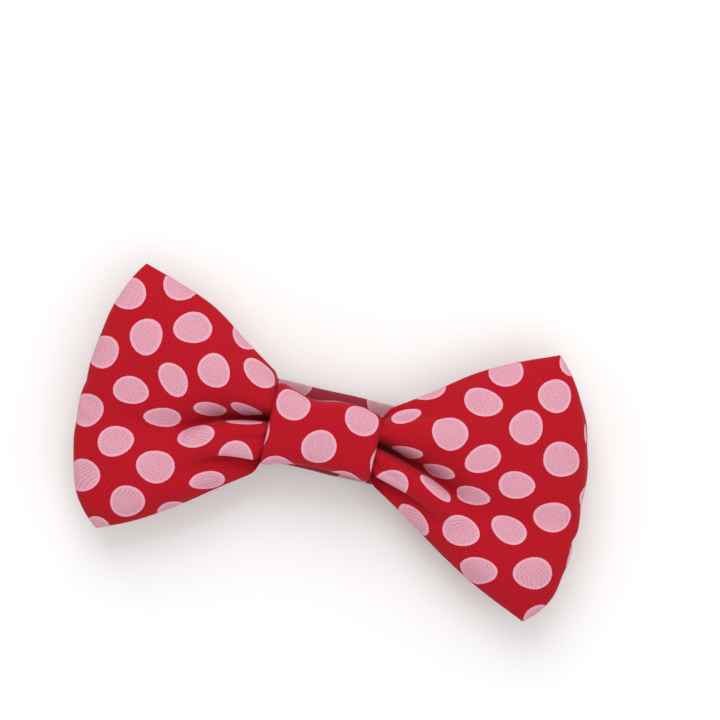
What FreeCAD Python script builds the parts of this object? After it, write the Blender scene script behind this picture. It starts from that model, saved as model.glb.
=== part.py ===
import FreeCAD, Part

import math
import os

import Sketcher

# A slide-on bow tie for a collar, in millimetres.
#
# The bow lies on its back: the front faces +Z, the long axis is X and the bow's upper edge is
# towards +Y. Every sub-part is drawn about the middle of the knot, with the resting plane at
# Z = 0, and its Placement then puts the frame's origin under the middle of the whole bow.
#
# From the front to the back the bow is: two puffy wings pinched at the waist, a knot band round
# the waist, a flat strap tacked to the back of the knot, and two elastic loops that hold a collar
# against the strap.

SIZES = [
    # alias, value, meaning
    ("left_reach", 70.9, "knot centre to the tip of the left wing"),
    ("right_reach", 77.6, "knot centre to the tip of the right wing"),
    ("left_top_out", 60.5, "left wing, upper corner, distance out"),
    ("left_top_up", 35.8, "left wing, upper corner, height"),
    ("left_low_out", 57.0, "left wing, lower corner, distance out"),
    ("left_low_down", 41.0, "left wing, lower corner, depth"),
    ("left_tip_down", 4.6, "left wing, how far its tip lies below the knot centre"),
    ("right_top_out", 60.7, "right wing, upper corner, distance out"),
    ("right_top_up", 37.5, "right wing, upper corner, height"),
    ("right_low_out", 67.6, "right wing, lower corner, distance out"),
    ("right_low_down", 39.2, "right wing, lower corner, depth"),
    ("right_tip_down", 8.0, "right wing, how far its tip lies below the knot centre"),
    ("edge_bow", 2.4, "how far a wing's long edge bows outwards"),
    ("wing_root_half", 12.4, "half height of a wing where it leaves the knot"),
    ("wing_half_depth", 9.0, "half thickness of a wing at its fullest"),
    ("tip_half_depth", 1.3, "half thickness of a wing at its tip"),
    ("wing_mid_level", 17.6, "level of a wing's middle plane"),
    ("end_roll", 30.0, "length over which a wing's end rounds off"),
    ("valley_width", 0.30, "width of the fold down a wing, as a share of its half height"),
    ("valley_depth", 0.62, "depth of the fold at the knot, as a share of the half thickness"),
    ("cloth", 0.8, "thickness of the folded cotton"),
    ("waist_half", 8.8, "half height of the gathered waist"),
    ("waist_half_depth", 5.1, "half thickness of the gathered waist"),
    ("waist_level", 15.2, "level of the waist's middle plane"),
    ("root_gap", 2.5, "how far past the knot a wing stands at its root height"),
    ("thread", 0.5, "thickness of the gathering thread"),
    ("thread_turns", 5, "turns of thread round the waist"),
    ("thread_pitch", 1.1, "distance between turns"),
    ("thread_round", 1.2, "inner radius of each turn's corners"),
    ("knot_width", 31.6, "length of the knot band along the bow"),
    ("knot_height", 22.2, "height of the knot"),
    ("knot_back", 7.8, "level of the knot's back"),
    ("knot_front", 23.6, "level of the knot's front"),
    ("band", 1.0, "thickness of the folded knot band"),
    ("interfacing", 0.5, "thickness of the stiffener inside the knot band"),
    ("knot_round", 4.0, "radius of the knot's long edges"),
    ("strap_length", 92.0, "length of the strap"),
    ("strap_height", 24.0, "height of the strap"),
    ("strap_up", 0.4, "how far the strap's middle lies above the knot's"),
    ("strap_back", 6.0, "level of the strap's back face"),
    ("strap_thick", 1.8, "thickness of the strap"),
    ("strap_core_thick", 0.6, "thickness of the interlining inside the strap"),
    ("strap_turning", 1.2, "cloth folded round the strap's interlining at its edges"),
    ("elastic_width", 12.0, "width of the elastic"),
    ("elastic_thick", 1.0, "thickness of the elastic"),
    ("elastic_out", 29.0, "distance of each loop's middle from the knot centre"),
    ("elastic_height", 23.6, "height of a loop, outside"),
    ("elastic_bend", 2.2, "outer radius of a loop's bends"),
    ("seam_gap", 0.3, "running clearance between a loop's ends and the strap"),
    ("stitch_length", 2.8, "length of one stitch"),
    ("stitch_pitch", 4.0, "distance from one stitch to the next"),
    ("stitch_thick", 0.3, "thickness of a stitch"),
    ("stitch_inset", 2.4, "distance of a row of stitches from the strap's edge"),
    ("strap_stitches", 22, "stitches in one row along the strap"),
    ("closing_stitches", 6, "stitches that close the knot band"),
]

KNOT_X = "(sizes.left_reach - sizes.right_reach) / 2"
KNOT_Y = "(sizes.left_low_down - sizes.right_top_up) / 2"

doc = FreeCAD.newDocument("slide_on_bow_tie")
sheet = doc.addObject("Spreadsheet::Sheet", "sizes")
for row, (alias, value, meaning) in enumerate(SIZES, start=1):
    sheet.set(f"A{row}", alias)
    sheet.set(f"B{row}", str(value))
    sheet.set(f"C{row}", meaning)
    sheet.setAlias(f"B{row}", alias)
doc.recompute()

sub_parts = []


def size(alias):
    """The value of one cell of the sheet."""
    return float(sheet.get(alias))


def place(item, label):
    """Name a finished sub-part and move it so that the origin lies under the bow's middle."""
    item.Label = label
    item.setExpression("Placement.Base.x", KNOT_X)
    item.setExpression("Placement.Base.y", KNOT_Y)
    sub_parts.append(item)


# Sketches and pads


def side_sketch(body, name):
    """A sketch on the body's own YZ plane, whose axes are the bow's Y and Z."""
    plane = next(item for item in body.Origin.OriginFeatures if item.Role == "YZ_Plane")
    sketch = body.newObject("Sketcher::SketchObject", name)
    sketch.AttachmentSupport = [(plane, "")]
    sketch.MapMode = "FlatFace"
    return sketch


def polygon(sketch, corners):
    """A closed outline. Each corner is a pair of expressions, its Y and Z, bound to the sheet."""
    first = sketch.GeometryCount
    count = len(corners)
    rough = [(math.cos(2 * math.pi * index / count), math.sin(2 * math.pi * index / count))
             for index in range(count)]
    for index in range(count):
        start = FreeCAD.Vector(*rough[index], 0)
        end = FreeCAD.Vector(*rough[(index + 1) % count], 0)
        sketch.addGeometry(Part.LineSegment(start, end))
    for index in range(count):
        following = first + (index + 1) % count
        sketch.addConstraint(Sketcher.Constraint("Coincident", first + index, 2, following, 1))
    for index, (across, level) in enumerate(corners):
        for kind, expression in (("DistanceX", across), ("DistanceY", level)):
            constraint = Sketcher.Constraint(kind, -1, 1, first + index, 1, 1.0)
            number = sketch.addConstraint(constraint)
            name = f"{kind}{first + index}"
            sketch.renameConstraint(number, name)
            sketch.setExpression(f"Constraints.{name}", expression)


def pad_along_bow(body, sketch, length):
    """Pad a side sketch evenly to both sides of the knot's middle plane."""
    pad = body.newObject("PartDesign::Pad", "pad")
    pad.Profile = sketch
    pad.SideType = "Symmetric"
    pad.setExpression("Length", length)
    sketch.Visibility = False
    doc.recompute()
    return pad


def lengthwise_edges(shape, wanted):
    """Names of the straight edges along X whose middle passes the test."""
    names = []
    for number, edge in enumerate(shape.Edges, start=1):
        along = edge.tangentAt(edge.FirstParameter)
        if abs(abs(along.x) - 1) < 1e-6 and wanted(edge.CenterOfMass):
            names.append(f"Edge{number}")
    return names


def round_edges(body, base, names, radius):
    """Fillet the named edges of the body's last feature."""
    fillet = body.newObject("PartDesign::Fillet", "fillet")
    fillet.Base = (base, names)
    fillet.setExpression("Radius", radius)
    doc.recompute()
    return fillet


def ring(label, half_height, back, front, thick, outer_radius):
    """A closed band round the waist: half height, back and front levels of its outside."""
    body = doc.addObject("PartDesign::Body", label)
    sketch = side_sketch(body, "section")
    for inset in ("0", thick):
        low, high = f"-({half_height} - {inset})", f"{half_height} - {inset}"
        bottom, top = f"{back} + {inset}", f"{front} - {inset}"
        polygon(sketch, [(low, bottom), (high, bottom), (high, top), (low, top)])
    pad = pad_along_bow(body, sketch, "sizes.knot_width")
    edge_y = pad.Shape.BoundBox.YMax
    outside = lengthwise_edges(pad.Shape, lambda middle: abs(middle.y) > edge_y - 1e-4)
    outer = round_edges(body, pad, outside, outer_radius)
    inside = lengthwise_edges(
        outer.Shape, lambda middle: abs(abs(middle.y) - edge_y + sheet_value(thick)) < 1e-4)
    round_edges(body, outer, inside, f"{outer_radius} - {thick}")
    place(body, label)


def sheet_value(expression):
    """The number behind an expression that is a single cell."""
    return size(expression.removeprefix("sizes."))


# Knot


def knot():
    """The folded knot band, its stiffener, and the stitches that close it at the back."""
    half = "sizes.knot_height / 2"
    ring("knot_band", half, "sizes.knot_back", "sizes.knot_front", "sizes.band",
         "sizes.knot_round")
    ring("knot_interfacing", f"({half} - sizes.band)", "(sizes.knot_back + sizes.band)",
         "(sizes.knot_front - sizes.band)", "sizes.interfacing",
         "(sizes.knot_round - sizes.band)")


# Strap


def slab(label, length, height, bottom, thick):
    """A flat rectangular piece that lies along the bow, centred on the strap."""
    body = doc.addObject("PartDesign::Body", label)
    sketch = side_sketch(body, "section")
    low, high = f"sizes.strap_up - {height} / 2", f"sizes.strap_up + {height} / 2"
    top = f"{bottom} + {thick}"
    polygon(sketch, [(low, bottom), (high, bottom), (high, top), (low, top)])
    pad_along_bow(body, sketch, length)
    return body


def strap():
    """The strap's cotton, folded round an interlining that fills its pocket."""
    core_length = "(sizes.strap_length - 2 * sizes.strap_turning)"
    core_height = "(sizes.strap_height - 2 * sizes.strap_turning)"
    core_bottom = "sizes.strap_back + (sizes.strap_thick - sizes.strap_core_thick) / 2"
    cover = slab("cover_block", "sizes.strap_length", "sizes.strap_height",
                 "sizes.strap_back", "sizes.strap_thick")
    pocket = slab("cover_pocket", core_length, core_height, core_bottom,
                  "sizes.strap_core_thick")
    cotton = doc.addObject("Part::Cut", "back_strap")
    cotton.Base = cover
    cotton.Tool = pocket
    place(cotton, "back_strap")
    core = slab("strap_interlining", core_length, core_height, core_bottom,
                "sizes.strap_core_thick")
    place(core, "strap_interlining")


# Stitches


def stitch_group(label, stitches):
    """One node of identical stitches: each is the expressions of a box's corner and size."""
    boxes = []
    for corner, extent in stitches:
        box = doc.addObject("Part::Box", "stitch")
        for side, expression in zip(("Length", "Width", "Height"), extent):
            box.setExpression(side, expression)
        for axis, expression in zip("xyz", corner):
            box.setExpression(f"Placement.Base.{axis}", expression)
        boxes.append(box)
    group = doc.addObject("Part::Compound", label)
    group.Links = boxes
    place(group, label)


def row_start(count, pitch, length):
    """Expression for the near end of a row that is centred on the knot."""
    return f"-(({count} - 1) * {pitch} + {length}) / 2"


def stitching():
    """Every row of stitches that shows on the bow's back, and the row hidden in its seam."""
    length = "sizes.stitch_length"
    pitch = "sizes.stitch_pitch"
    thick = "sizes.stitch_thick"

    under_strap = f"sizes.strap_back - {thick}"
    rows = []
    start = row_start("sizes.strap_stitches", pitch, length)
    for side in (-1, 1):
        level = (f"sizes.strap_up + {side} * (sizes.strap_height / 2 - sizes.stitch_inset)"
                 f" - {thick} / 2")
        for index in range(int(size("strap_stitches"))):
            rows.append(((f"{start} + {index} * {pitch}", level, under_strap),
                         (length, thick, thick)))
    stitch_group("strap_edge_stitches", rows)

    # Four bars through the strap's back hold it to the knot band.
    bars = []
    for out in (-1, 1):
        for up in (-1, 1):
            bars.append(((f"{out} * sizes.knot_width * 0.36 - {thick}",
                          f"sizes.strap_up + {up} * sizes.knot_height / 4 - {length} / 2",
                          under_strap),
                         (f"2 * {thick}", length, thick)))
    stitch_group("strap_tacking_stitches", bars)

    # Inside the knot the band's overlapped ends are whipped together.
    closing = []
    step = "sizes.knot_width / (sizes.closing_stitches + 1)"
    for index in range(1, int(size("closing_stitches")) + 1):
        closing.append(((f"-sizes.knot_width / 2 + {index} * {step} - {thick} / 2",
                         f"-{length} / 2",
                         "sizes.knot_back + sizes.band + sizes.interfacing"),
                        (thick, length, thick)))
    stitch_group("knot_closing_stitches", closing)


# Elastic loops


def elastic_loop(label, side):
    """A strip of elastic bent round the collar's passage, its two ends up against the strap."""
    body = doc.addObject("PartDesign::Body", label)
    sketch = side_sketch(body, "section")
    half = "sizes.elastic_height / 2"
    thick = "sizes.elastic_thick"
    top = "sizes.strap_back - sizes.seam_gap"
    outer_low, outer_high = f"sizes.strap_up - {half}", f"sizes.strap_up + {half}"
    inner_low, inner_high = f"{outer_low} + {thick}", f"{outer_high} - {thick}"
    polygon(sketch, [(outer_low, top), (outer_low, "0"), (outer_high, "0"), (outer_high, top),
                     (inner_high, top), (inner_high, thick), (inner_low, thick),
                     (inner_low, top)])
    pad = pad_along_bow(body, sketch, "sizes.elastic_width")
    outer = round_edges(body, pad,
                        lengthwise_edges(pad.Shape, lambda middle: middle.z < 1e-4),
                        "sizes.elastic_bend")
    inner_level = size("elastic_thick")
    inside = lengthwise_edges(outer.Shape, lambda middle: abs(middle.z - inner_level) < 1e-4)
    round_edges(body, outer, inside, "sizes.elastic_bend - sizes.elastic_thick")
    place(body, label)
    body.setExpression("Placement.Base.x", f"{KNOT_X} + {side} * sizes.elastic_out")


# Bow


class Wing:
    """One wing's outline and fullness. Distances out are from the knot, on either side."""

    def __init__(self, name, side):
        self.side = side
        self.reach = size(f"{name}_reach")
        self.corners = {
            1: (size(f"{name}_top_out"), size(f"{name}_top_up")),
            -1: (size(f"{name}_low_out"), -size(f"{name}_low_down")),
        }
        self.tip = -size(f"{name}_tip_down")
        self.root = size("knot_width") / 2

    def edge(self, out, up):
        """Y of the upper (up = 1) or lower (up = -1) edge at a distance out from the knot."""
        corner_out, corner_y = self.corners[up]
        if out >= corner_out:
            share = min((out - corner_out) / (self.reach - corner_out), 1.0)
            return self.tip + (corner_y - self.tip) * math.sqrt(1 - share ** 1.75)
        share = max(out - self.root, 0) / (corner_out - self.root)
        straight = up * size("wing_root_half") * (1 - share) + corner_y * share
        return straight + up * size("edge_bow") * 4 * share * (1 - share)

    def half_depth(self, out):
        """Half thickness: it swells from the waist and rounds off over the end."""
        swell = smooth((out - self.root) / (self.reach * 0.45))
        full = size("waist_half_depth") * (1 - swell) + size("wing_half_depth") * swell
        near_end = min((self.reach - out) / size("end_roll"), 1.0)
        rounded = full * math.sqrt(1 - (1 - near_end) ** 2)
        return max(rounded, size("tip_half_depth"))

    def valley(self, out):
        """Depth of the fold down the middle, which fades out towards the end."""
        return size("valley_depth") * (1 - smooth((out - self.root) / (self.reach * 0.72)))

    def stations(self):
        """Distances out at which the wing's sections stand, root first."""
        nearer_corner = min(self.corners[1][0], self.corners[-1][0])
        span = nearer_corner - self.root
        along = [self.root + size("root_gap")]
        along += [self.root + span * share for share in (0.15, 0.3, 0.5, 0.75, 1)]
        rest = self.reach - nearer_corner
        return along + [self.reach - rest * share for share in (0.72, 0.45, 0.22, 0.07, 0.01)]


def smooth(share):
    """An S-shaped step from 0 to 1."""
    share = min(max(share, 0.0), 1.0)
    return share * share * (3 - 2 * share)


def face_curve(x, low, high, middle, depth, valley):
    """One face of a section, from its lower edge to its upper: two ridges beside a fold."""
    points = []
    for share in (-1, -0.88, -0.62, -0.32, 0, 0.32, 0.62, 0.88, 1):
        fold = valley * math.exp(-(share / size("valley_width")) ** 2)
        rise = math.sqrt(1 - share ** 2) ** 0.9 * (1 - fold)
        y = (low + high) / 2 + share * (high - low) / 2
        points.append(FreeCAD.Vector(x, y, middle + depth * rise))
    curve = Part.BSplineCurve()
    curve.interpolate(points)
    return curve.toShape()


def section_at(wing, out):
    """The values that describe the bow's section at a distance out along one wing."""
    swell = smooth((out - wing.root) / (wing.reach * 0.45))
    middle = size("waist_level") * (1 - swell) + size("wing_mid_level") * swell
    return {"x": wing.side * out, "low": wing.edge(out, -1), "high": wing.edge(out, 1),
            "middle": middle, "depth": wing.half_depth(out), "valley": wing.valley(out),
            "cloth": size("cloth")}


def waist_section(x):
    """The gathered waist: two thick folded layers that almost meet."""
    return {"x": x, "low": -size("waist_half"), "high": size("waist_half"),
            "middle": size("waist_level"), "depth": size("waist_half_depth"),
            "valley": size("valley_depth"), "cloth": size("waist_half_depth") - 0.1}


def wire_of(section, face):
    """A section's closed outline for the front cloth, the back cloth or what lies inside."""
    side = {"front": 1, "back": -1}
    inner = dict(section)
    turning = min(section["cloth"], (section["high"] - section["low"]) * 0.1)
    inner["low"] += turning
    inner["high"] -= turning

    def curve(values, thick, sign):
        depth = sign * (values["depth"] - thick)
        valley = values["valley"] * (1 if sign > 0 else 0.5)
        return face_curve(values["x"], values["low"], values["high"], values["middle"],
                          depth, valley)

    thick = min(section["cloth"], section["depth"] - 0.1)
    if face == "inside":
        front, back = curve(inner, thick, 1), curve(inner, thick, -1)
        return Part.Wire([front, back])
    sign = side[face]
    outside, inside = curve(section, 0, sign), curve(inner, thick, sign)
    ends = [Part.makeLine(outside.Vertexes[index].Point, inside.Vertexes[index].Point)
            for index in (0, 1)]
    return Part.Wire([outside, ends[1], inside, ends[0]])


def lofted(label, wires):
    """A sub-part skinned through a row of sections."""
    shape = Part.makeLoft(wires, True, True)
    piece = doc.addObject("Part::Feature", label)
    piece.Shape = shape
    place(piece, label)


def bow():
    """The bow's two cotton panels, which run through the knot, and a pad in each wing."""
    left, right = Wing("left", -1), Wing("right", 1)
    reach = size("knot_width") / 2
    left_row = [section_at(left, out) for out in reversed(left.stations())]
    right_row = [section_at(right, out) for out in right.stations()]
    whole = left_row + [waist_section(-reach), waist_section(reach)] + right_row
    for face in ("front", "back"):
        lofted(f"bow_{face}_cloth", [wire_of(section, face) for section in whole])
    lofted("left_wing_wadding", [wire_of(section, "inside") for section in left_row])
    lofted("right_wing_wadding", [wire_of(section, "inside") for section in right_row])


def waist_thread():
    """Turns of thread side by side round the gathered waist."""
    thick = size("thread")
    turns = int(size("thread_turns"))
    loops = []
    for index in range(turns):
        x = (index - (turns - 1) / 2) * size("thread_pitch") - thick / 2
        loops.append(rounded_block(x, thick, thick).cut(rounded_block(x, thick, 0)))
    piece = doc.addObject("Part::Feature", "waist_thread")
    piece.Shape = Part.makeCompound(loops)
    place(piece, "waist_thread")


def rounded_block(x, length, margin):
    """A block that holds the waist's section with a margin all round, its long edges rounded."""
    half_y = size("waist_half") + margin
    half_z = size("waist_half_depth") + margin
    corner = FreeCAD.Vector(x, -half_y, size("waist_level") - half_z)
    block = Part.makeBox(length, 2 * half_y, 2 * half_z, corner)
    long_edges = [edge for edge in block.Edges
                  if abs(abs(edge.tangentAt(edge.FirstParameter).x) - 1) < 1e-6]
    return block.makeFillet(size("thread_round") + margin, long_edges)


knot()
strap()
stitching()
elastic_loop("left_elastic_loop", -1)
elastic_loop("right_elastic_loop", 1)
bow()
waist_thread()
doc.recompute()

for item in doc.Objects:
    if "Invalid" in item.State or "Error" in item.State:
        raise RuntimeError(f"{item.Name} failed: {item.State}")
for item in sub_parts:
    if item.Shape.isNull() or not item.Shape.isValid():
        raise RuntimeError(f"{item.Label} has no valid shape")

os.makedirs("parts", exist_ok=True)
for item in sub_parts:
    item.Shape.exportStep(f"parts/{item.Label}.step")
    box = item.Shape.BoundBox
    print(f"{item.Label:24s} solids {len(item.Shape.Solids):3d} volume {item.Shape.Volume:9.1f} "
          f"x {box.XMin:7.2f} {box.XMax:7.2f} y {box.YMin:7.2f} {box.YMax:7.2f} "
          f"z {box.ZMin:6.2f} {box.ZMax:6.2f}")
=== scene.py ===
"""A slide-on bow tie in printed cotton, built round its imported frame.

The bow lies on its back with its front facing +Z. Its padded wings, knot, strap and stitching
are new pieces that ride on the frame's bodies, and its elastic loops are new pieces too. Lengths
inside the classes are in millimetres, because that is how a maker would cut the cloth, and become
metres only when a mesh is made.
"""

from __future__ import annotations

import logging
import math
from dataclasses import dataclass
from enum import Enum

import bpy
import numpy as np
from numpy.typing import NDArray
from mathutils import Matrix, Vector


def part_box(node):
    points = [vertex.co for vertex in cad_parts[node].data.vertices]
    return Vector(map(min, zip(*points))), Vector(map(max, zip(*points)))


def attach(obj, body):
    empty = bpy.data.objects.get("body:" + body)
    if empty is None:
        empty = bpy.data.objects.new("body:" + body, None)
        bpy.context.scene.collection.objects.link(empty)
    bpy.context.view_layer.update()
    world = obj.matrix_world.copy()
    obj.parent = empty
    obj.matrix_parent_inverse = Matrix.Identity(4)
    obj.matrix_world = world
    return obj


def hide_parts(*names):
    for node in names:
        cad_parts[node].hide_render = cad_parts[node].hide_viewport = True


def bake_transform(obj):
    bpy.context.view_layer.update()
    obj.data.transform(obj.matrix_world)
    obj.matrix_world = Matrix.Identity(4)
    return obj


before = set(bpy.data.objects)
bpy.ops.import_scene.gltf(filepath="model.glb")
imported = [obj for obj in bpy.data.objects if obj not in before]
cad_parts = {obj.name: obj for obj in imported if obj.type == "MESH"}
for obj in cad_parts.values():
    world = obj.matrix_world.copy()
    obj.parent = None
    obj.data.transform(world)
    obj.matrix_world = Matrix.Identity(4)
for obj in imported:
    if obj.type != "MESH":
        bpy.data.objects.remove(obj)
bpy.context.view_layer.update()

MM = 0.001
Array = NDArray[np.float64]
log = logging.getLogger("bow_tie")


class Side(Enum):
    """The two wings, with the direction in which each leaves the knot along X."""

    LEFT = -1
    RIGHT = 1


# Small shared tools


def smooth(share: Array) -> Array:
    """An S-shaped step: 3 s^2 - 2 s^3 of the share, held between 0 and 1.

    Args:
        share: How far along the step each point is.

    Returns:
        The height of the step at each point.
    """
    held = np.clip(share, 0.0, 1.0)
    return held * held * (3.0 - 2.0 * held)


def through(knots: Array, values: Array, places: Array) -> Array:
    """A smooth curve through given points: cubic Hermite pieces whose slope at each point
    is that of the parabola through it and its neighbours.

    Args:
        knots: Rising parameter values of the points.
        values: The value at each point, which may itself be a row of values.
        places: Parameter values to read, of any shape.

    Returns:
        The curve's value at each place.
    """
    tail = (1,) * (values.ndim - 1)
    steps = np.diff(knots).reshape(-1, *tail)
    rises = np.diff(values, axis=0) / steps
    slopes = np.empty_like(values)
    slopes[1:-1] = (rises[:-1] * steps[1:] + rises[1:] * steps[:-1]) / (steps[1:] + steps[:-1])
    slopes[0], slopes[-1] = rises[0], rises[-1]
    held = np.clip(places, knots[0], knots[-1])
    piece = np.clip(np.searchsorted(knots, held, side="right") - 1, 0, len(steps) - 1)
    step = steps[piece]
    along = (held - knots[piece]).reshape(*held.shape, *tail) / step
    start, end = values[piece], values[piece + 1]
    square, cube = along**2, along**3
    return (start * (2 * cube - 3 * square + 1) + slopes[piece] * step * (cube - 2 * square + along)
            + end * (3 * square - 2 * cube) + slopes[piece + 1] * step * (cube - square))


def grid_faces(rows: int, columns: int, wrap: bool = False) -> NDArray[np.int64]:
    """The quads of a grid of vertices that are numbered row by row.

    Args:
        rows: Number of rows of vertices.
        columns: Number of vertices in a row.
        wrap: Whether the last column joins the first.

    Returns:
        One row of four vertex numbers for each quad.
    """
    across = np.arange(columns if wrap else columns - 1)
    row, column = np.meshgrid(np.arange(rows - 1), across, indexing="ij")
    following = (column + 1) % columns
    quads = (row * columns + column, (row + 1) * columns + column,
             (row + 1) * columns + following, row * columns + following)
    return np.stack(quads, axis=-1).reshape(-1, 4)


def paired_panels(front: Array, back: Array) -> tuple[Array, NDArray[np.int64]]:
    """Join a front and a back grid of points into one closed skin. They share the front's outer
    ring of points, which is the seam.

    Args:
        front: The front panel's points, rows by columns by three.
        back: The back panel's points, of the same shape.

    Returns:
        All points, with the front's first, and the quads.
    """
    rows, columns = front.shape[:2]
    number = np.arange(rows * columns).reshape(rows, columns)
    number[1:-1, 1:-1] = rows * columns + np.arange((rows - 2) * (columns - 2)).reshape(
        rows - 2, -1)
    quads = grid_faces(rows, columns)
    points = np.concatenate([front.reshape(-1, 3), back[1:-1, 1:-1].reshape(-1, 3)])
    return points, np.concatenate([quads, number.reshape(-1)[quads][:, ::-1]])


def panel_values(front: Array, back: Array) -> Array:
    """Values of a front and a back grid, in the order of the points of paired_panels.

    Args:
        front: The front panel's values, rows by columns and on.
        back: The back panel's values, of the same shape.

    Returns:
        The value of each point.
    """
    tail = front.shape[2:]
    return np.concatenate([front.reshape(-1, *tail), back[1:-1, 1:-1].reshape(-1, *tail)])


def lengths(grid: Array, axis: int) -> Array:
    """Lengths along the lines of a grid of points, each from its line's first point.

    Args:
        grid: Points, rows by columns by three.
        axis: 0 where the lines run from row to row, 1 where they run along a row.

    Returns:
        The length up to each point, rows by columns.
    """
    steps = np.linalg.norm(np.diff(grid, axis=axis), axis=-1)
    start = np.zeros_like(steps.take([0], axis=axis))
    return np.concatenate([start, np.cumsum(steps, axis=axis)], axis=axis)


def crowded(count: int, share: float = 1.0) -> Array:
    """Places from -1 to 1 that crowd towards both ends, as the sine of an angle does.

    Args:
        count: How many places there are.
        share: How much of the crowding is used. The rest is even spacing.

    Returns:
        The places, in rising order.
    """
    bunched = np.sin(np.linspace(-math.pi / 2, math.pi / 2, count))
    return (1 - share) * np.linspace(-1, 1, count) + share * bunched


def middle_of(box: Array) -> Array:
    """The middle of a node's box as seen from the front, at the level of the floor."""
    return np.array([*box[:, :2].mean(axis=0), 0.0])


def make_piece(name: str, points: Array, faces: list[list[int]] | NDArray[np.int64],
               material: bpy.types.Material | None = None, uv: Array | None = None,
               inset: Array | None = None) -> bpy.types.Object:
    """A mesh object at the origin, shaded smooth.

    Args:
        name: The piece's name.
        points: Vertex places in millimetres, in the frame's axes.
        faces: The vertex numbers of each face.
        material: The piece's one material.
        uv: Cloth coordinates in millimetres for each vertex.
        inset: How far inside a dot's edge each vertex lies, in millimetres.

    Returns:
        The new object, linked to the scene.
    """
    mesh = bpy.data.meshes.new(name)
    listed = faces if isinstance(faces, list) else faces.tolist()
    mesh.from_pydata((points.reshape(-1, 3) * MM).tolist(), [], listed)
    if uv is not None:
        layer = mesh.uv_layers.new(name="cloth")
        corners = np.empty(len(mesh.loops), dtype=np.int32)
        mesh.loops.foreach_get("vertex_index", corners)
        layer.data.foreach_set("uv", uv.reshape(-1, 2)[corners].astype(np.float32).ravel())
    if inset is not None:
        attribute = mesh.attributes.new("dot_inset", "FLOAT", "POINT")
        attribute.data.foreach_set("value", inset.reshape(-1).astype(np.float32))
    mesh.polygons.foreach_set("use_smooth", np.ones(len(mesh.polygons), dtype=bool))
    mesh.validate()
    if material is not None:
        mesh.materials.append(material)
    piece = bpy.data.objects.new(name, mesh)
    bpy.context.scene.collection.objects.link(piece)
    return piece


def points_of(piece: bpy.types.Object) -> Array:
    """The places of a piece's vertices.

    Args:
        piece: The piece.

    Returns:
        Places in millimetres, one row for each vertex.
    """
    flat = np.empty(3 * len(piece.data.vertices), dtype=np.float32)
    piece.data.vertices.foreach_get("co", flat)
    return flat.reshape(-1, 3).astype(float) / MM


def subdivide(piece: bpy.types.Object, levels: int) -> None:
    """Give a piece a subdivision surface, the same on screen and in a render.

    Args:
        piece: The piece.
        levels: How many times its faces are divided.
    """
    modifier = piece.modifiers.new("rounding", "SUBSURF")
    modifier.levels = levels
    modifier.render_levels = levels
    modifier.boundary_smooth = "PRESERVE_CORNERS"


def node_box(name: str) -> Array:
    """Lowest and highest corner of a frame node in millimetres, one row each."""
    low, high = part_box(name)
    return np.array([low, high], dtype=float) / MM


# The print


@dataclass(frozen=True)
class Dot:
    """A dot of the front's print, as it is seen from the front: its middle from the knot's, its
    width and height as the folds foreshorten it, and its turn in degrees."""

    x: float
    y: float
    wide: float = 9.9
    tall: float = 9.3
    turned: float = 10.0


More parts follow.
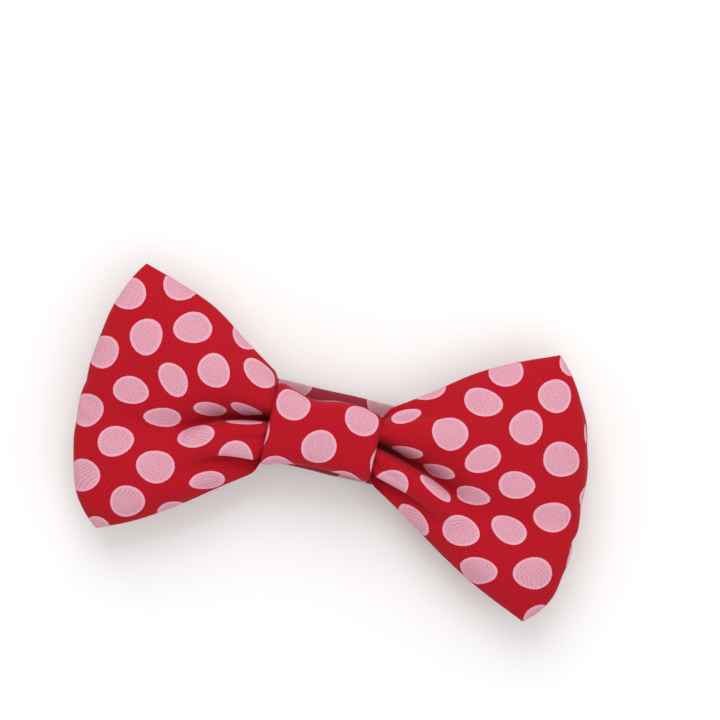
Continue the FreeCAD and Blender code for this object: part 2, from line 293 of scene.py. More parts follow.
@dataclass(frozen=True)
class DottedPrint:
    """Round dots on a half-drop repeat: columns a pitch apart, every other one dropped by half a
    row, each dot nudged a little so that the print looks hand drawn. The last three fields are
    for listed dots: the unevenness of their outline, and how far they may reach from their
    middle, in radii, in a straight line and along the cloth."""

    column_pitch: float = 11.7
    row_pitch: float = 15.6
    radius: float = 4.95
    wobble: float = 0.75
    seed: int = 5
    unevenness: float = 0.03
    straight_reach: float = 1.15
    cloth_reach: float = 4.0 / 3.0

    def centres(self, low: tuple[float, float], high: tuple[float, float]) -> Array:
        """Dot centres over a region of cloth.

        Args:
            low: The region's lower corner.
            high: The region's upper corner.

        Returns:
            One row of two cloth coordinates for each dot.
        """
        first = np.floor(np.array(low) / (self.column_pitch, self.row_pitch)).astype(int) - 1
        last = np.ceil(np.array(high) / (self.column_pitch, self.row_pitch)).astype(int) + 1
        column, row = np.meshgrid(np.arange(first[0], last[0]), np.arange(first[1], last[1]))
        across = column * self.column_pitch
        up = (row + 0.5 * (column % 2)) * self.row_pitch
        hashed = np.sin(column * 12.9898 + row * 78.233 + self.seed) * 43758.5453
        turn = 2.0 * math.pi * (hashed - np.floor(hashed))
        nudged = (across + self.wobble * np.cos(turn), up + self.wobble * np.sin(3.0 * turn))
        return np.stack(nudged, axis=-1).reshape(-1, 2)

    def inset(self, cloth: Array) -> Array:
        """How far inside the nearest dot's edge each point lies: the radius less the distance to
        the nearest centre, so it is negative between the dots.

        Args:
            cloth: Cloth coordinates, with two in the last axis.

        Returns:
            The inset of each point, in millimetres.
        """
        flat = cloth.reshape(-1, 2)
        centres = self.centres(tuple(flat.min(axis=0)), tuple(flat.max(axis=0)))
        apart = np.linalg.norm(flat[:, None, :] - centres[None, :, :], axis=-1)
        return (self.radius - apart.min(axis=1)).reshape(cloth.shape[:-1])

    def placed(self, grid: Array, dots: tuple[Dot, ...],
               folds: tuple[tuple[float, float], ...] = ()) -> Array:
        """Insets of listed dots on a panel of cloth. A dot is an ellipse as
        seen from the front, with an outline that swells as 1 + e cos 2t + e cos 3t, where e is
        the unevenness. On a steep side its reach ends it, so that it never gets to a layer folded
        under, and it doesn't cross a fold.

        Its middle on the cloth is the highest point within a millimetre of its place. Where there
        is none it is the nearest point, and a higher one is taken before a lower.

        Args:
            grid: The panel's points, rows by columns by three.
            dots: The dots.
            folds: Where a fold runs across the cloth, from -1 to 1, and how far out it ends.

        Returns:
            The inset of each point, rows by columns.
        """
        rows, columns = grid.shape[:2]
        flat = grid.reshape(-1, 3)
        spots = np.array([(dot.x, dot.y, 0.0) for dot in dots])
        sizes = np.array([(dot.wide, dot.tall) for dot in dots])[:, :, None] / 2
        turned = np.radians([dot.turned for dot in dots])[:, None]
        apart = flat[None, :, :2] - spots[:, None, :2]
        away = np.linalg.norm(apart, axis=-1)
        nearest = (away - 0.05 * flat[None, :, 2]).argmin(axis=1)
        top = np.where(away < 1.0, flat[None, :, 2], -1e9).argmax(axis=1)
        home = np.where(away.min(axis=1) < 1.0, top, nearest)
        spots[:, 2] = flat[home, 2]
        straight = np.linalg.norm(flat[None, :, :] - spots[:, None, :], axis=-1)
        home = straight.argmin(axis=1)
        way = lengths(grid, axis=1)
        around = np.abs(way[None, :, :] - way[:, home % columns].T[:, :, None])
        u = (apart[..., 0] * np.cos(turned) + apart[..., 1] * np.sin(turned)) / sizes[:, 0]
        v = (apart[..., 1] * np.cos(turned) - apart[..., 0] * np.sin(turned)) / sizes[:, 1]
        phase = np.arange(len(spots))[:, None] * 2.4 + self.seed
        turn = np.arctan2(v, u)
        outline = (1 + self.unevenness * np.cos(2 * turn + phase)
                   + self.unevenness * np.cos(3 * turn + 1.7 * phase))
        limit = straight / (self.straight_reach * self.radius)
        share = (np.maximum(np.hypot(u, v), limit) / outline).reshape(-1, rows, columns)
        share = np.maximum(share, around / (self.cloth_reach * self.radius))
        across = np.linspace(-1.0, 1.0, columns)
        for fold, end in folds:
            other = (across[None, :] > fold) != (across[home % columns] > fold)[:, None]
            share = np.where(other[:, None, :] & (np.abs(grid[..., 0]) < end), 2.0, share)
        return ((1 - share) * np.sqrt(sizes.prod(axis=1))[:, :, None]).max(axis=0)


# Finishes


Colour = tuple[float, ...]
Socket = bpy.types.NodeSocket


def scaled(colour: Colour, factor: float, lift: float = 0.0) -> Colour:
    """A colour multiplied by a factor and then lifted, and never brighter than white."""
    return tuple(min(factor * value + lift, 1.0) for value in colour)


class Nodes:
    """The shader nodes of one new material. Its values are numbers, colours or other nodes'
    outputs, and every method returns the output of the node that it adds."""

    def __init__(self, name: str, roughness: float, sheen: float = 0.0) -> None:
        """Start a material with one Principled shader.

        Args:
            name: The material's name.
            roughness: The shader's roughness.
            sheen: How much light the cloth's fibres catch at a grazing angle.
        """
        self.material = bpy.data.materials.new(name)
        self.material.use_nodes = True
        self.tree = self.material.node_tree
        self.shader = self.tree.nodes["Principled BSDF"]
        for socket, value in (("Roughness", roughness), ("Specular IOR Level", 0.14),
                              ("Sheen Weight", sheen), ("Sheen Roughness", 0.45)):
            self.shader.inputs[socket].default_value = value

    def add(self, kind: str, **values: object) -> bpy.types.Node:
        """Add a node.

        Args:
            kind: The node's type name.
            values: Plain properties to set on it.

        Returns:
            The node.
        """
        node = self.tree.nodes.new(kind)
        for name, value in values.items():
            setattr(node, name, value)
        return node

    def feed(self, socket: Socket, value: object) -> None:
        """Set a node's input.

        Args:
            socket: The input.
            value: A number, a colour, or another node's output to link to it.
        """
        if isinstance(value, Socket):
            self.tree.links.new(value, socket)
        elif isinstance(value, tuple):
            socket.default_value = (*value, 1.0)
        else:
            socket.default_value = value

    def cloth(self) -> Socket:
        """The piece's own cloth coordinates."""
        return self.add("ShaderNodeUVMap", uv_map="cloth").outputs[0]

    def split(self, place: Socket) -> tuple[Socket, Socket]:
        """Split a place into its parts.

        Args:
            place: The place.

        Returns:
            Its first two parts.
        """
        node = self.add("ShaderNodeSeparateXYZ")
        self.feed(node.inputs[0], place)
        return node.outputs[0], node.outputs[1]

    def maths(self, operation: str, *inputs: object) -> Socket:
        """Work something out.

        Args:
            operation: The operation's name.
            inputs: What it works on, in order.

        Returns:
            The result.
        """
        node = self.add("ShaderNodeMath", operation=operation)
        for socket, value in zip(node.inputs, inputs):
            self.feed(socket, value)
        return node.outputs[0]

    def mixed(self, share: object, start: object, end: object) -> Socket:
        """Mix two colours.

        Args:
            share: How much of the second colour there is.
            start: The first colour.
            end: The second colour.

        Returns:
            The mixed colour.
        """
        node = self.add("ShaderNodeMix", data_type="RGBA")
        for index, value in ((0, share), (6, start), (7, end)):
            self.feed(node.inputs[index], value)
        return node.outputs[2]

    def stepped(self, value: Socket, low: float, high: float) -> Socket:
        """Step smoothly from 0 to 1 as a value rises from one level to another.

        Args:
            value: The value.
            low: Where the step starts.
            high: Where it ends.

        Returns:
            The height of the step.
        """
        node = self.add("ShaderNodeMapRange", interpolation_type="SMOOTHSTEP")
        for index, number in enumerate((value, low, high)):
            self.feed(node.inputs[index], number)
        return node.outputs[0]

    def noise(self, place: Socket, scale: float, detail: float = 2.0,
              dimensions: str = "2D") -> Socket:
        """Add a noise texture.

        Args:
            place: Where the noise is read.
            scale: How fine it is.
            detail: How many finer layers are added to it.
            dimensions: Whether it varies over a surface or in space.

        Returns:
            The noise, from 0 to 1.
        """
        node = self.add("ShaderNodeTexNoise", noise_dimensions=dimensions)
        for name, value in (("Vector", place), ("Scale", scale), ("Detail", detail)):
            self.feed(node.inputs[name], value)
        return node.outputs[0]

    def finish(self, colour: object, height: Socket, strength: float,
               depth: float) -> bpy.types.Material:
        """Give the shader its colour and its fine relief.

        Args:
            colour: The colour.
            height: The relief's height.
            strength: How strongly the relief tilts the surface.
            depth: How deep it is, in millimetres.

        Returns:
            The finished material.
        """
        bump = self.add("ShaderNodeBump")
        for name, value in (("Strength", strength), ("Distance", depth * MM), ("Height", height)):
            self.feed(bump.inputs[name], value)
        self.feed(self.shader.inputs["Base Color"], colour)
        self.feed(self.shader.inputs["Normal"], bump.outputs[0])
        return self.material


@dataclass(frozen=True)
class PrintedCotton:
    """Plain-weave quilting cotton with a pigment print, worked out in cloth millimetres. The
    strength is how much its threads show."""

    name: str
    ground: Colour = (0.430, 0.0030, 0.0120)
    dot: Colour = (0.665, 0.338, 0.426)
    thread_pitch: float = 0.96
    strength: float = 1.0

    def weave(self, nodes: Nodes, cloth: Socket) -> tuple[Socket, Socket]:
        """Thread heights: a sine across each set of threads, whose product's sign says which set
        is on top, so the two sets cross in a checkerboard. Noise moves the sines a little.

        Args:
            nodes: The material's nodes.
            cloth: The piece's cloth coordinates.

        Returns:
            The height of the weave, and a slow drift that varies its look.
        """
        drift = nodes.noise(cloth, 0.35, detail=3.0)
        wander = nodes.maths("ADD", nodes.maths("MULTIPLY", drift, 2.5),
                             nodes.maths("MULTIPLY", nodes.noise(cloth, 1.1), 3.0))
        turns = 2.0 * math.pi / self.thread_pitch
        warp, weft = (
            nodes.maths("SINE", nodes.maths("ADD", nodes.maths("MULTIPLY", place, turns), wander))
            for place in nodes.split(cloth))
        return nodes.maths("MULTIPLY", warp, weft), drift

    def build(self) -> bpy.types.Material:
        """Make the material.

        Returns:
            A material that reads the piece's cloth coordinates and dot insets.
        """
        nodes = Nodes(self.name, roughness=0.88, sheen=0.03)
        cloth = nodes.cloth()
        crossing, drift = self.weave(nodes, cloth)
        slub = nodes.maths("SUBTRACT", nodes.noise(cloth, 1.7), 0.5)
        uneven = nodes.maths("ADD", crossing, slub)
        fray = nodes.maths("SUBTRACT", nodes.noise(cloth, 2.4), 0.5)
        inset = nodes.add("ShaderNodeAttribute", attribute_name="dot_inset").outputs["Fac"]
        ragged = nodes.maths("ADD", inset, nodes.maths("MULTIPLY", fray, 0.22))

        # The ground darkens where a thread dips, and its tone drifts slowly over the cloth.
        light = scaled(self.ground, 1.12, lift=0.004)
        dark = scaled(self.ground, 1 - 0.26 * self.strength)
        ground = nodes.mixed(nodes.stepped(uneven, -0.6, 0.6), light, dark)
        ground = nodes.mixed(nodes.stepped(drift, 0.3, 0.9), ground, self.ground)

        # Ink lies thinner on a dot's middle, where the ground shows through it, and it pools into
        # a pale rim round the edge.
        middle = nodes.stepped(ragged, 0.3, 1.0)
        speck = nodes.maths("MULTIPLY", nodes.stepped(uneven, 0.0, 0.55),
                            nodes.maths("MULTIPLY", middle, 0.95 * self.strength))
        seen = tuple(0.55 * high + 0.45 * low for high, low in zip(self.dot, self.ground))
        ink = nodes.mixed(speck, self.dot, seen)
        rim = nodes.maths("MULTIPLY", nodes.maths("SUBTRACT", 1.0, middle), 0.7)
        ink = nodes.mixed(rim, ink, scaled(self.dot, 1.10))
        colour = nodes.mixed(nodes.stepped(ragged, -0.05, 0.06), ground, ink)
        return nodes.finish(colour, crossing, strength=0.35, depth=0.10)


@dataclass(frozen=True)
class PlainFinish:
    """A matte finish with a fine grain, worked out in object metres."""

    name: str
    colour: Colour
    roughness: float = 0.8
    grain: float = 2500.0
    relief: float = 0.04

    def build(self) -> bpy.types.Material:
        """Make the material: fine noise, darker and deeper where it is low.

        Returns:
            A material that reads the piece's object coordinates.
        """
        nodes = Nodes(self.name, self.roughness, sheen=0.15)
        place = nodes.add("ShaderNodeTexCoord").outputs["Object"]
        fine = nodes.noise(place, self.grain, dimensions="3D")
        colour = nodes.mixed(nodes.stepped(fine, 0.3, 0.7), scaled(self.colour, 0.74), self.colour)
        return nodes.finish(colour, fine, strength=0.5, depth=self.relief)


@dataclass(frozen=True)
class KnittedElastic:
    """White knitted elastic: ribs along the band crossed by fine rows of knitting, worked out in
    the band's own millimetres."""

    name: str
    colour: Colour = (0.82, 0.81, 0.78)
    rib_pitch: float = 1.09
    row_pitch: float = 0.55

    def build(self) -> bpy.types.Material:
        """Make the material: a cosine across the ribs, crossed by a sine for the rows, which lean
        on the sides of each rib.

        Returns:
            A material that reads the band's cloth coordinates.
        """
        nodes = Nodes(self.name, roughness=0.7, sheen=0.2)
        across, along = nodes.split(nodes.cloth())
        rib = nodes.maths("COSINE", nodes.maths("MULTIPLY", across, 2.0 * math.pi / self.rib_pitch))
        lean = nodes.maths("MULTIPLY", nodes.maths("ABSOLUTE", rib), 1.1)
        turn = nodes.maths("MULTIPLY", along, 2.0 * math.pi / self.row_pitch)
        row = nodes.maths("SINE", nodes.maths("ADD", turn, lean))
        height = nodes.maths("ADD", nodes.maths("MULTIPLY", row, 0.5), rib)
        colour = nodes.mixed(nodes.stepped(height, -1.3, 0.5), scaled(self.colour, 0.66),
                             self.colour)
        return nodes.finish(colour, height, strength=0.6, depth=0.12)


# The bow


@dataclass(frozen=True)
class FoldLine:
    """A line that runs out along a wing's front from the knot to the wing's end, such as a ridge
    or the bottom of the valley."""

    share: float
    across: tuple[float, ...]
    level: tuple[float, ...]


STATIONS = np.array([0.0, 0.25, 0.5, 0.75, 1.0])


@dataclass
class Wing:
    """One wing's outline and folds. Distances out and across are from the knot's middle, levels
    from the floor, and each fold line has one value for each of the stations along the wing."""

    side: Side
    reach: float
    top_corner: float
    low_corner: float
    top_draw: float
    low_draw: float
    folds: tuple[FoldLine, ...]
    cloth_length: float
    end_wave: float
    seam_level: float = 14.0
    back_level: float = 9.3
    end_closing: float = 0.13

    def out(self, along: Array, share: Array, knot_half: float) -> Array:
        """Distance out from the knot's middle: straight lines to an end edge that draws back
        towards each corner as q s^2 + (1 - q) s^6, with a slight unevenness.

        Args:
            along: Share of the way from the knot to the wing's end.
            share: Share of the cloth from the lower edge (-1) to the upper (1).
            knot_half: Half the knot's length.

        Returns:
            The distance out of each point.
        """
        upper = share > 0
        corner = np.where(upper, self.top_corner, self.low_corner)
        draw = np.where(upper, self.top_draw, self.low_draw)
        end = self.reach - (self.reach - corner) * (draw * share**2 + (1 - draw) * share**6)
        uneven = self.end_wave * np.sin(19.0 * share + self.reach) * (1 - share**2) * along**6
        return knot_half + (end - knot_half) * along + uneven

    def front(self, along: Array, share: Array, knot_half: float) -> Array:
        """The front panel: smooth curves through the fold lines, both across and along the
        wing. The level closes on the seam as sqrt(1 - s^9) at the long edges and as a quarter
        circle at the end.

        Args:
            along: Share of the way from the knot to the wing's end, one for each row.
            share: Share of the cloth from the lower edge (-1) to the upper (1), one a column.
            knot_half: Half the knot's length.

        Returns:
            An array of places, rows by columns by three.
        """
        shares = np.array([fold.share for fold in self.folds])
        lines = np.array([(fold.across, fold.level) for fold in self.folds])
        stations = through(shares, lines.reshape(len(shares), -1), share)
        stations = stations.reshape(-1, 2, len(STATIONS)).transpose(2, 0, 1)
        both = through(STATIONS, stations.reshape(len(STATIONS), -1), along)
        both = both.reshape(len(along), -1, 2)
        y, body = both[..., 0], both[..., 1]
        a, s = along[:, None], share[None, :]
        level = self.seam_level + (body - self.seam_level) * self.closing(a, s)
        x = self.side.value * self.out(a, s, knot_half)
        return np.stack([x, y, level + self.wrinkles(a, s)], axis=-1)

    def back(self, along: Array, share: Array, knot_half: float) -> Array:
        """The back panel: the same outline with straight lines fanning across it, hanging below
        the seam by the same closing, with three shallow pleats that fade away from the knot.

        Args:
            along: Share of the way from the knot to the wing's end, one for each row.
            share: Share of the cloth from the lower edge (-1) to the upper (1), one a column.
            knot_half: Half the knot's length.

        Returns:
            An array of places, rows by columns by three.
        """
        front = self.front(along, share, knot_half)
        a, s = along[:, None], share[None, :]
        low, high = front[:, :1, 1], front[:, -1:, 1]
        y = low * (1 - s) / 2 + high * (1 + s) / 2
        pleat = 1.1 * (1 - np.cos(3 * math.pi * s)) / 2 * np.exp(-((a / 0.3) ** 2))
        body = self.back_level + pleat + 0.9 * np.exp(-((s / 0.12) ** 2)) * (1 - a)
        level = self.seam_level + (body - self.seam_level) * self.closing(a, s)
        return np.stack([front[..., 0], y, level - 0.6 * self.wrinkles(a, s)], axis=-1)

    def closing(self, a: Array, s: Array) -> Array:
        """How full the pad is: 1 in the body, falling to 0 at the seam all round.

        Args:
            a: Share of the way along the wing.
            s: Share of the way across it, from -1 to 1.

        Returns:
            The fullness at each point.
        """
        near = 1 - np.clip((1 - a) / self.end_closing, 0.0, 1.0)
        return np.sqrt(1 - near**2) * np.sqrt(1 - np.abs(s) ** 9)

    def wrinkles(self, a: Array, s: Array) -> Array:
        """Small pulls in the cloth: waves and sharp gathers that fan out from the knot, one slow
        wave over the body, and puckers at the seam. Each is a sine or two in a fading window, and
        the wing's reach shifts the first three, so that the wings differ.

        Args:
            a: Share of the way along the wing.
            s: Share of the way across it, from -1 to 1.

        Returns:
            How far each point is lifted, in millimetres.
        """
        fan = 0.28 * np.sin(9.5 * s + 1.3 * np.sin(5 * a) + self.reach) * np.exp(-2.2 * a)
        gather = -0.5 * (1 - np.abs(np.sin(7.3 * s + self.reach))) ** 4 * np.exp(-((a / 0.3) ** 2))
        slow = 0.35 * np.sin(5.2 * s - 4.0 * a + self.reach) * np.sin(math.pi * a) ** 2
        edge = np.maximum(np.abs(s) ** 16, np.clip(1 - (1 - a) / 0.06, 0, 1) ** 2)
        pucker = 0.14 * np.sin(55 * a * (np.abs(s) > 0.8) + 34 * s * (np.abs(s) <= 0.8)) * edge
        return (fan + gather + slow) * (1 - s**8) * (1 - a**8) + pucker


@dataclass
class PaddedBow:
    """The two wings with the gathered waist between them, as one padded piece that runs through
    the knot: a front and a back panel that meet in a seam all round. The folds are those that no
    dot crosses, as their place across the cloth and how far out they run."""

    knot: Array
    print_: DottedPrint
    left: Wing
    right: Wing
    dots: tuple[Dot, ...]
    columns: int = 84
    row_pitch: float = 1.25
    squeeze: float = 0.66
    pressure: float = 2.0
    most_moved: float = 1.6
    sideways: float = 0.35
    freed_over: float = 34.0
    seam_depth: float = 0.8
    seam_turn: float = 0.9
    waist_level: float = 15.4
    waist_depth: float = 0.8
    folds: tuple[tuple[float, float], ...] = ((0.0, 38.0), (-0.7, 36.0))

    @property
    def knot_half(self) -> float:
        """Half the knot's length."""
        return float(self.knot[1, 0] - self.knot[0, 0]) / 2

    def cloth_rows(self) -> Array:
        """Cloth places along X of the rows, from the left end to the right."""
        left, right = self.left.cloth_length, self.right.cloth_length
        return np.linspace(-left, right, int(round((left + right) / self.row_pitch)))

    def panels(self) -> tuple[Array, Array]:
        """The front and the back panel: the left wing, the waist and the right wing in turn. The
        waist runs smoothly from one root to the other, drawn in by the knot.

        Returns:
            Two arrays of places, rows by columns by three.
        """
        half = self.knot_half
        rows = self.cloth_rows()
        share = np.linspace(-1.0, 1.0, self.columns)
        made = []
        for method in ("front", "back"):
            wings = [getattr(wing, method)(np.clip(
                (np.abs(rows) - half) / (wing.cloth_length - half), 0, 1), share, half)
                for wing in (self.left, self.right)]
            grid = np.where((rows < 0)[:, None, None], *wings)
            inside = np.abs(rows) < half
            mix = smooth((rows[inside, None, None] + half) / (2 * half))
            roots = [getattr(wing, method)(np.zeros(1), share, half)
                     for wing in (self.left, self.right)]
            grid[inside] = roots[0] * (1 - mix) + roots[1] * mix
            grid[inside, :, 0] = rows[inside, None]
            free = smooth((np.abs(rows) - half + 1.5) / 3.2)[:, None]
            grid[..., 1] *= self.squeeze + (1 - self.squeeze) * free
            flatter = self.waist_depth + (1 - self.waist_depth) * free
            grid[..., 2] = self.waist_level + (grid[..., 2] - self.waist_level) * flatter
            made.append(grid)
        return made[0], made[1]

    def build(self, cotton: bpy.types.Material) -> bpy.types.Object:
        """Make the bow's mesh, inflate it, lay the print on it and dress it.

        Args:
            cotton: The printed cloth.

        Returns:
            The finished piece.
        """
        front, back = self.panels()
        middle = middle_of(self.knot)
        points, faces = paired_panels(front, back)
        piece = make_piece("padded_bow", points + middle, faces)
        self.inflate(piece, front, back)
        settled = points_of(piece) - middle
        count = len(front) * self.columns
        front = settled[:count].reshape(front.shape)
        back[1:-1, 1:-1] = settled[count:].reshape(len(front) - 2, -1, 3)
        back[0], back[-1], back[:, 0], back[:, -1] = front[0], front[-1], front[:, 0], front[:, -1]
        settled[:count] = self.sew(front).reshape(-1, 3)
        cloth = [self.cloth_place(panel) for panel in (front, back)]
        front_inset = self.print_.placed(front, self.dots, self.folds)
        front_inset[[0, -1], :] = front_inset[:, [0, -1]] = -self.seam_turn
        inset = panel_values(front_inset, self.print_.inset(cloth[1]))
        bpy.data.meshes.remove(piece.data)
        piece = make_piece("padded_bow", settled + middle, faces, cotton, panel_values(*cloth),
                           inset)
        subdivide(piece, 1)
        return piece

    def sew(self, front: Array) -> Array:
        """Draw the front panel's outer ring in, so that the seam lies in a groove. A long edge is
        drawn across the bow, less near the knot, and an end is drawn along it.

        Args:
            front: The front panel's points.

        Returns:
            The points with the ring drawn in.
        """
        sewn = front.copy()
        free = smooth((np.abs(front[:, 0, 0]) - self.knot_half) / 10.0)
        for edge, inward in ((0, 1), (-1, -1)):
            sewn[:, edge, 1] += inward * self.seam_depth * free
            sewn[edge, 1:-1, 0] += inward * self.seam_depth
        return sewn

    def cloth_place(self, panel: Array) -> Array:
        """Cloth coordinates of a panel: the length along the cloth from the middle of the waist,
        and the length up from the valley.

        Args:
            panel: The panel's points, rows by columns by three.

        Returns:
            Two cloth coordinates for each point.
        """
        valley = self.columns // 2
        waist = int(np.abs(panel[:, valley, 0]).argmin())
        out, up = lengths(panel, axis=0), lengths(panel, axis=1)
        return np.stack([out - out[waist], up - up[:, [valley]]], axis=-1)

    def inflate(self, piece: bpy.types.Object, front: Array, back: Array) -> None:
        """Let the wadding fill the wings: a short cloth simulation under pressure, ten times life
        size because the solver is steadier on larger cloth. The knot holds the waist, and the
        cloth is freer the further it is from it. Each point's move is capped.

        Args:
            piece: The bow before it is inflated.
            front: The front panel's points.
            back: The back panel's points.
        """
        life, frames = 10.0, 16
        start = points_of(piece)
        out = np.abs(panel_values(front, back)[:, 0])
        free = smooth((out - self.knot_half) / self.freed_over)
        piece.data.vertices.foreach_set("co", (start * MM * life).ravel())
        held = piece.vertex_groups.new(name="held by the knot")
        held.add(np.flatnonzero(out < self.knot_half + 1.0).tolist(), 1.0, "REPLACE")
        cloth = piece.modifiers.new("filling", "CLOTH")
        settings = cloth.settings
        settings.quality = 5
        settings.mass = 0.3
        settings.tension_stiffness = 30.0
        settings.compression_stiffness = 30.0
        settings.shear_stiffness = 12.0
        settings.bending_stiffness = 2.0
        settings.use_pressure = True
        settings.uniform_pressure_force = self.pressure
        settings.shrink_min = -0.02
        settings.vertex_group_mass = held.name
        settings.effector_weights.gravity = 0.0
        cloth.collision_settings.use_collision = False
        cloth.collision_settings.use_self_collision = False
        scene = bpy.context.scene
        cloth.point_cache.frame_start, cloth.point_cache.frame_end = 1, frames
        for number in range(1, frames + 1):
            scene.frame_set(number)
        graph = bpy.context.evaluated_depsgraph_get()
        settled = piece.evaluated_get(graph).data
        flat = np.empty(3 * len(settled.vertices), dtype=np.float32)
        settled.vertices.foreach_get("co", flat)
        end = flat.reshape(-1, 3).astype(float) / (MM * life)
        piece.modifiers.clear()
        scene.frame_set(1)
        move = end - start
        far = np.linalg.norm(move, axis=1, keepdims=True)
        log.info("the filling moved points by up to %.1f mm", far.max())
        move *= np.minimum(1.0, self.most_moved / np.maximum(far, 1e-9)) * free[:, None]
        move[:, :2] *= self.sideways
        piece.data.vertices.foreach_set("co", ((start + move) * MM).ravel())
        piece.data.update()


@dataclass
class Knot:
    """The knot: a strip of the bow's cloth over a stiffener, wrapped round the waist with its
    raw edges folded in. Its upper and lower edges are given points along and across the
    bow, and the hem is the low ridge where the raw edge is folded under."""

    box: Array
    print_: DottedPrint = DottedPrint(10.0, 21.2, wobble=0.35, seed=3)
    print_place: tuple[float, float] = (-0.4, -3.3)
    upper: tuple[tuple[float, float], ...] = (
        (-15.8, 11.5), (-11.7, 10.6), (-4.9, 8.9), (1.9, 10.0), (10.0, 10.0), (15.8, 8.2))
    lower: tuple[tuple[float, float], ...] = (
        (-15.8, -12.6), (-8.0, -10.7), (0.0, -10.0), (8.0, -10.2), (15.8, -10.4))
    squareness: float = 3.4
    crown: float = 0.35
    hem_height: float = 0.35
    hem_place: float = 1.9
    hem_width: float = 1.3
    around: int = 108
    lengthways: int = 30
    bend: int = 6

    def surface(self, x: Array, depth: Array, turn: Array) -> Array:
        """Points of the wrap. Each cut across the bow is a rounded rectangle, at the radius
        (|cos t / h|^n + |sin t / d|^n)^(-1/n) in direction t, whose half height h follows the
        given upper and lower edges. The front is crowned, and the cloth drags a little as
        a travelling sine.

        Args:
            x: Distance along the bow from the knot's middle.
            depth: How far inside the outer face each point lies.
            turn: Direction round the waist, from up the bow towards the front.

        Returns:
            Places relative to the knot's middle and the floor.
        """
        upper, lower = np.array(self.upper), np.array(self.lower)
        high = through(upper[:, 0], upper[:, 1], x)
        low = through(lower[:, 0], lower[:, 1], x)
        half_height = (high - low) / 2 - depth
        crown = self.crown * (1 - (x / upper[-1, 0]) ** 2)
        half_depth = (self.box[1, 2] - self.box[0, 2]) / 2 - 0.3 + crown - depth
        power = self.squareness
        radius = (np.abs(np.cos(turn) / half_height) ** power
                  + np.abs(np.sin(turn) / half_depth) ** power) ** (-1 / power)
        drag = 0.12 * np.sin(0.9 * x + 2.0 * np.sin(turn)) * np.exp(-((np.cos(turn) / 0.6) ** 2))
        level = self.box[:, 2].mean() + (radius + drag) * np.sin(turn)
        places = np.broadcast_arrays(x, (high + low) / 2 + radius * np.cos(turn), level)
        return np.stack(places, axis=-1)

    def band(self, name: str, outer: float, wall: float, shorter: float,
             material: bpy.types.Material, printed: bool) -> bpy.types.Object:
        """A closed strip round the waist: a flat ring of cloth with half-round edges.

        Args:
            name: The piece's name.
            outer: Depth of its outer face inside the knot's.
            wall: Its thickness.
            shorter: How much shorter it is than the knot at each end.
            material: The band's material.
            printed: Whether it carries the dots.

        Returns:
            The band.
        """
        half = (self.box[1, 0] - self.box[0, 0]) / 2 - shorter
        radius = wall / 2
        flat = np.linspace(-half + radius, half - radius, self.lengthways)
        bend = np.linspace(0, math.pi, self.bend + 2)[1:-1]
        x = np.concatenate([flat, half - radius + radius * np.sin(bend), flat[::-1],
                            -half + radius - radius * np.sin(bend)])
        depth = np.concatenate([np.zeros_like(flat), radius - radius * np.cos(bend),
                                np.full_like(flat, wall), radius + radius * np.cos(bend)])
        near = (np.abs(x) - half + self.hem_place) / self.hem_width
        rim = -self.hem_height * np.exp(-(near**2)) * (depth < radius)
        turn = np.linspace(-0.5 * math.pi, 1.5 * math.pi, self.around, endpoint=False)
        grid = self.surface(x[:, None], (depth + outer + rim)[:, None], turn[None, :])
        quads = grid_faces(len(x) + 1, self.around, wrap=True) % (len(x) * self.around)
        inset, cloth = None, None
        if printed:
            way = lengths(grid, axis=1)
            rolled = np.sign(x) * depth * (np.abs(x) > half - 2 * wall)
            cloth = np.stack([grid[..., 0] + rolled[:, None],
                              way[:, [self.around // 2]] - way], axis=-1)
            inset = self.print_.inset(cloth - self.print_place)
        piece = make_piece(name, grid + middle_of(self.box), quads[:, ::-1], material, cloth,
                           inset)
        subdivide(piece, 1)
        return piece

    def winding(self, thread: bpy.types.Material) -> bpy.types.Object:
        """Five turns of thread that pinch the waist under the knot: a helix on the wrap's own
        shape, a little inside it, with a round thread carried along it and closed at its ends.

        Args:
            thread: The thread's material.

        Returns:
            The finished piece.
        """
        turns, pitch, count, sides, depth, radius = 5, 0.84, 300, 8, 3.0, 0.4
        turn = np.linspace(0, 2 * turns * math.pi, count)
        line = self.surface(pitch / 2 * (turn - turns * math.pi) / math.pi,
                            np.full(count, depth), turn)
        outward = self.surface(line[:, 0], np.full(count, depth - 1), turn) - line
        outward /= np.linalg.norm(outward, axis=1, keepdims=True)
        round_ = np.linspace(0, 2 * math.pi, sides, endpoint=False)
        thin = radius * np.sqrt(1 - np.linspace(-0.999, 0.999, count) ** 60)[:, None, None]
        sideways = np.array([1.0, 0.0, 0.0])
        ring = (np.cos(round_)[None, :, None] * sideways
                + np.sin(round_)[None, :, None] * outward[:, None, :])
        grid = line[:, None, :] + thin * ring
        faces = grid_faces(count, sides, wrap=True)[:, ::-1].tolist()
        faces.append(list(range(sides - 1, -1, -1)))
        faces.append([(count - 1) * sides + n for n in range(sides)])
        return make_piece("waist_winding", grid + middle_of(self.box), faces, thread)

    def build(self, cotton: bpy.types.Material,
              felt: bpy.types.Material) -> tuple[bpy.types.Object, bpy.types.Object]:
        """Make the cloth wrap and the stiffener inside it.

        Args:
            cotton: The printed cloth.
            felt: The stiffener's material.

        Returns:
            The wrap and the stiffener.
        """
        wrap = self.band("knot_wrap", outer=0.0, wall=2.3, shorter=0.0, material=cotton,
                         printed=True)
        stiffener = self.band("knot_stiffener", outer=0.8, wall=0.6, shorter=1.6, material=felt,
                              printed=False)
        return wrap, stiffener


